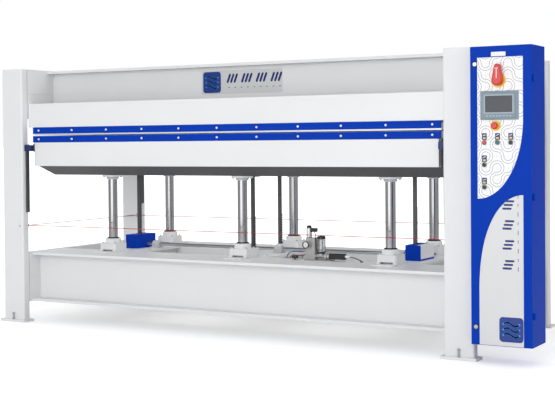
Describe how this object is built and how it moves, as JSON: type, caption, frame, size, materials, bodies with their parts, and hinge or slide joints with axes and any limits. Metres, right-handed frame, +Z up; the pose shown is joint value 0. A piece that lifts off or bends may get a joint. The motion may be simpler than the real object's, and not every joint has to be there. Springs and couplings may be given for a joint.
{
  "type": "hydraulic platen press",
  "caption": "Large hydraulic platen press for flat work: column frame, fixed upper platen, rising table on rams with rack levelling, trip rope and a control cabinet.",
  "frame": {"origin": "centre of the overall footprint at floor level", "axes": "+X along the press towards the control cabinet, +Z up, operator's side towards -Y"},
  "size_m": [4.178, 1.663, 1.9],
  "materials": {
    "frame_paint": "satin light grey paint",
    "cabinet_blue": "satin blue powder coat",
    "zinc_bolts": "zinc plated",
    "platen_steel": "ground steel",
    "insulation_board": "pressed board",
    "dark_paint": "satin dark grey paint",
    "strip_blue": "satin blue paint",
    "cover_paint": "satin off-white paint",
    "barrel_paint": "satin grey paint",
    "ram_chrome": "ground and chromed",
    "gear_steel": "oiled steel",
    "shaft_steel": "ground steel",
    "box_paint": "satin blue paint",
    "shoe_paint": "satin navy paint",
    "rope_red": "red plastic sheath",
    "switch_plastic": "moulded plastic",
    "valve_steel": "machined",
    "bowl_clear": "clear moulded",
    "black_plastic": "moulded",
    "overlay_print": "printed film",
    "red_plastic": "moulded",
    "green_plastic": "moulded",
    "yellow_plastic": "moulded",
    "panel_plastic": "moulded",
    "screen_glass": "hard coated screen",
    "lock_metal": "nickel plated"
  },
  "bodies": {
    "frame": {"base_plates": "frame_paint", "columns": "frame_paint", "levelling_bolts": "zinc_bolts", "girders": "frame_paint", "cross_girders": "frame_paint", "end_ties": "frame_paint", "upper_beams": "frame_paint", "fixed_platen": "platen_steel", "fixed_insulation": "insulation_board", "fixed_joists": "dark_paint", "fixed_edge_strips": "strip_blue", "upper_covers": "cover_paint", "cylinder_seats": "frame_paint", "cylinder_barrels": "barrel_paint", "cylinder_heads": "frame_paint", "pinion_boxes": "box_paint", "rack_guides": "frame_paint", "shaft_bearings": "barrel_paint", "guide_rails": "gear_steel", "rope_eyes": "zinc_bolts", "trip_rope": "rope_red", "rope_switch": "switch_plastic", "valve_block": "valve_steel", "valve_bowl": "bowl_clear", "valve_coils": "black_plastic", "valve_lead": "black_plastic", "oil_pipes": "gear_steel", "cabinet_box": "cabinet_blue", "switchgear": "switch_plastic"},
    "table": {"moving_platen": "platen_steel", "moving_insulation": "insulation_board", "moving_joists": "dark_paint", "moving_edge_strips": "strip_blue", "table_skirts": "cover_paint", "table_frame": "dark_paint", "rams": "ram_chrome", "ram_plates": "dark_paint", "long_racks": "gear_steel", "cross_racks": "gear_steel", "guide_shoes": "shoe_paint"},
    "door": {"cabinet_door": "cabinet_blue", "door_overlays": "overlay_print", "button_collars": "black_plastic", "yellow_collars": "yellow_plastic", "operator_panel": "panel_plastic", "panel_screen": "screen_glass"},
    "long_shaft": {"long_shaft": "shaft_steel"},
    "cross_shaft": {"cross_shaft": "gear_steel"},
    "red_button": {"red_button": "red_plastic"},
    "green_button": {"green_button": "green_plastic"},
    "upper_black_button": {"upper_black_button": "black_plastic"},
    "middle_black_button": {"middle_black_button": "black_plastic"},
    "lower_black_button": {"lower_black_button": "black_plastic"},
    "estop_stem": {"estop_stem": "black_plastic"},
    "estop_head": {"estop_head": "red_plastic"},
    "main_switch": {"main_switch_handle": "red_plastic"},
    "upper_lock": {"upper_lock": "lock_metal"},
    "lower_lock": {"lower_lock": "lock_metal"}
  },
  "joints": [
    {"name": "table_slide", "type": "slide", "parent": "frame", "child": "table", "axis": [0, 0, 1], "range_m": [-0.28, 0.003]},
    {"name": "long_shaft_spin", "type": "hinge", "parent": "frame", "child": "long_shaft", "pos_m": [-0.187, 0.0765, 0.55], "axis": [1, 0, 0], "range_deg": [-20, 460]},
    {"name": "cross_shaft_spin", "type": "hinge", "parent": "frame", "child": "cross_shaft", "pos_m": [-0.143, 0.0365, 0.47], "axis": [0, 1, 0], "range_deg": [-460, 20]},
    {"name": "door_hinge", "type": "hinge", "parent": "frame", "child": "door", "pos_m": [2.083, -0.7695, 1], "axis": [0, 0, 1], "range_deg": [0, 110]},
    {"name": "red_button_push", "type": "slide", "parent": "door", "child": "red_button", "axis": [0, 1, 0], "range_m": [0, 0.003], "stiffness_N_per_m": 300, "springref_m": -0.002},
    {"name": "green_button_push", "type": "slide", "parent": "door", "child": "green_button", "axis": [0, 1, 0], "range_m": [0, 0.003], "stiffness_N_per_m": 300, "springref_m": -0.002},
    {"name": "upper_black_button_push", "type": "slide", "parent": "door", "child": "upper_black_button", "axis": [0, 1, 0], "range_m": [0, 0.003], "stiffness_N_per_m": 300, "springref_m": -0.002},
    {"name": "middle_black_button_push", "type": "slide", "parent": "door", "child": "middle_black_button", "axis": [0, 1, 0], "range_m": [0, 0.003], "stiffness_N_per_m": 300, "springref_m": -0.002},
    {"name": "lower_black_button_push", "type": "slide", "parent": "door", "child": "lower_black_button", "axis": [0, 1, 0], "range_m": [0, 0.003], "stiffness_N_per_m": 300, "springref_m": -0.002},
    {"name": "estop_push", "type": "slide", "parent": "door", "child": "estop_stem", "axis": [0, 1, 0], "range_m": [0, 0.005], "stiffness_N_per_m": 400, "springref_m": -0.002},
    {"name": "estop_twist", "type": "hinge", "parent": "estop_stem", "child": "estop_head", "pos_m": [1.856, -0.8135, 1.423], "axis": [0, -1, 0], "range_deg": [-45, 0]},
    {"name": "main_switch_turn", "type": "hinge", "parent": "door", "child": "main_switch", "pos_m": [1.875, -0.8135, 1.692], "axis": [0, 1, 0], "range_deg": [0, 90]},
    {"name": "upper_lock_turn", "type": "hinge", "parent": "door", "child": "upper_lock", "pos_m": [1.727, -0.7835, 1.791], "axis": [0, -1, 0], "range_deg": [0, 90]},
    {"name": "lower_lock_turn", "type": "hinge", "parent": "door", "child": "lower_lock", "pos_m": [1.727, -0.7835, 0.22], "axis": [0, -1, 0], "range_deg": [0, 90]}
  ],
  "couplings": [
    {"joint": "long_shaft_spin", "follows": "table_slide", "rad_per_m": -27.778},
    {"joint": "cross_shaft_spin", "follows": "table_slide", "rad_per_m": 27.778}
  ]
}
